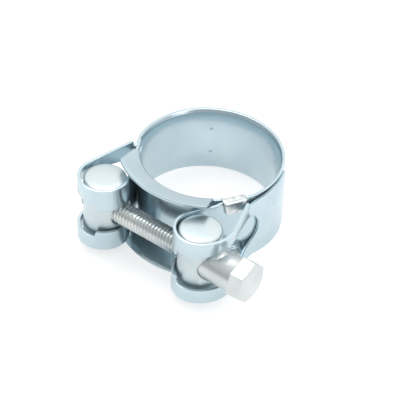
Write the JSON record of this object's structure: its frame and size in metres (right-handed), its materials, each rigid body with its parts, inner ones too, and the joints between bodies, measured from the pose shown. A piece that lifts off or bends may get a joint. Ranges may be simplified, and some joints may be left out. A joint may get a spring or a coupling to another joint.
{
  "type": "heavy duty hose clamp",
  "caption": "Heavy duty hose clamp: a wide plated band folded round two barrel trunnions, a bridge plate under the gap, and a hexagon bolt with a spacer sleeve.",
  "frame": {"origin": "on the bore axis, at the middle of the band's width", "axes": "+Z along the bore, +X along the bolt towards its head, -Y towards the bolt and the gap"},
  "size_m": [0.0547, 0.0511, 0.0246],
  "materials": {
    "zinc_band": "bright zinc plated strip",
    "zinc_trunnion": "bright zinc plated, turned",
    "zinc_bolt": "bright zinc plated, satin"
  },
  "bodies": {
    "clamp": {"band": "zinc_band", "bridge": "zinc_band", "threaded_trunnion": "zinc_trunnion", "plain_trunnion": "zinc_trunnion"},
    "sleeve": {"spacer_sleeve": "zinc_bolt"},
    "bolt": {"hex_bolt": "zinc_bolt"}
  },
  "joints": [
    {"name": "bolt_travel", "type": "slide", "parent": "clamp", "child": "sleeve", "axis": [1, 0, 0], "range_m": [0, 0.011]},
    {"name": "bolt_turn", "type": "hinge", "parent": "sleeve", "child": "bolt", "pos_m": [0.0281, -0.0239, 0], "axis": [1, 0, 0], "range_deg": [0, 3960]}
  ],
  "couplings": [
    {"joint": "bolt_turn", "follows": "bolt_travel", "rad_per_m": 6283.2}
  ]
}
